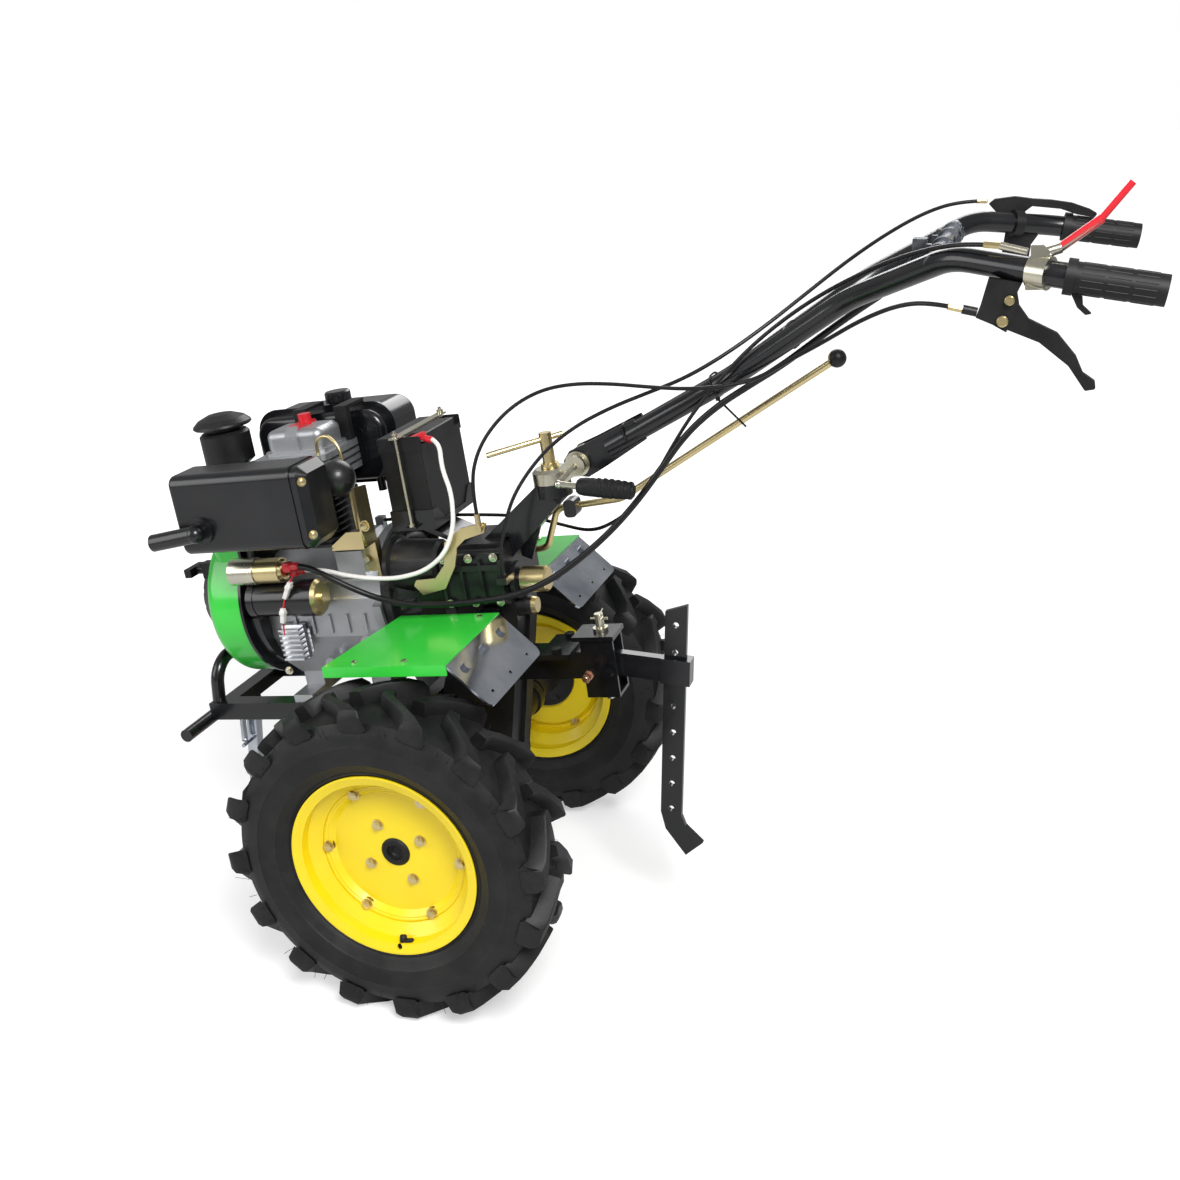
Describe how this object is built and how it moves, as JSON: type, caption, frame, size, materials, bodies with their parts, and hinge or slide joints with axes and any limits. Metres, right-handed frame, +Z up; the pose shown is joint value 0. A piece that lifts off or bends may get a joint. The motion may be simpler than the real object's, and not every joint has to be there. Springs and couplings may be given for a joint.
{
  "type": "walking tractor",
  "caption": "Two-wheel walking tractor with a single-cylinder diesel engine, lugged tyres, swivelling handlebar, front stand and rear depth stake.",
  "frame": {"origin": "centre of the machine's bounding box in plan, on the ground it stands on", "axes": "+X towards the engine's front, +Y to the machine's left, +Z up"},
  "size_m": [1.6444, 0.881, 1.3926],
  "materials": {
    "tyre": "new moulded rubber",
    "rim_yellow": "glossy yellow paint",
    "zinc": "zinc plated",
    "black_paint": "glossy black paint",
    "casting": "cast",
    "green_paint": "glossy green paint",
    "black_plastic": "moulded",
    "rubber": "moulded rubber",
    "gold_zinc": "yellow passivated"
  },
  "bodies": {
    "chassis": {"air_filter": "black_plastic", "axle_tubes": "black_paint", "battery": "black_plastic", "battery_clamp": "zinc", "battery_lead": "rubber", "battery_tray": "black_paint", "brake_cable": "rubber", "clutch_arm": "zinc", "clutch_cable": "rubber", "clutch_housing": "black_paint", "column": "black_paint", "crankcase": "casting", "cylinder": "casting", "cylinder_head": "casting", "depth_stake": "black_paint", "drag_bar": "black_paint", "exhaust_manifold": "casting", "fan_shroud": "green_paint", "front_frame": "black_paint", "fuel_pipe": "gold_zinc", "fuel_tank": "black_paint", "gearbox": "black_paint", "guard_carriers": "black_paint", "hitch_box": "black_paint", "hitch_pin": "zinc", "mudguards": "green_paint", "muffler": "black_paint", "muffler_bracket": "zinc", "rear_plates": "zinc", "recoil_starter": "black_plastic", "regulator": "zinc", "rocker_cover": "casting", "selector_cap": "zinc", "shift_rod": "zinc", "shroud_trim": "black_paint", "stand_springs": "zinc", "starter_motor": "gold_zinc", "starter_solenoid": "gold_zinc", "tank_straps": "rubber", "throttle_cable": "rubber", "wire_harness": "rubber"},
    "wheel_left": {"tyre_left": "tyre", "rim_left": "rim_yellow", "hub_left": "zinc"},
    "wheel_right": {"tyre_right": "tyre", "rim_right": "rim_yellow", "hub_right": "zinc"},
    "stand": {"front_stand": "black_paint"},
    "swivel": {"swivel_yoke": "zinc", "swivel_lock_lever": "zinc"},
    "handlebar": {"handlebar_tubes": "black_paint", "handlebar_clamp": "black_paint", "clamp_crank": "zinc", "crank_grip": "rubber", "grips": "rubber", "cross_bar": "zinc", "clutch_lever": "black_paint", "brake_lever": "black_paint", "throttle_lever": "zinc"}
  },
  "joints": [
    {"name": "wheel_left_spin", "type": "hinge", "parent": "chassis", "child": "wheel_left", "pos_m": [0.24993, 0.3665, 0.294], "axis": [0, 1, 0], "continuous": true},
    {"name": "wheel_right_spin", "type": "hinge", "parent": "chassis", "child": "wheel_right", "pos_m": [0.24993, -0.3665, 0.294], "axis": [0, 1, 0], "continuous": true},
    {"name": "stand_fold", "type": "hinge", "parent": "chassis", "child": "stand", "pos_m": [0.74409, 0, 0.32002], "axis": [0, 1, 0], "range_deg": [0, 95], "deforming": ["stand_springs"]},
    {"name": "handlebar_swivel", "type": "hinge", "parent": "chassis", "child": "swivel", "pos_m": [0.09683, 0, 0.84878], "axis": [0.1564, 0, 0.9877], "range_deg": [-30, 30], "deforming": ["clutch_cable", "brake_cable", "throttle_cable", "wire_harness"]},
    {"name": "handlebar_tilt", "type": "hinge", "parent": "swivel", "child": "handlebar", "pos_m": [0.04107, 0, 0.89305], "axis": [0, 1, 0], "range_deg": [-4, 18], "deforming": ["clutch_cable", "brake_cable", "throttle_cable", "wire_harness"]}
  ]
}
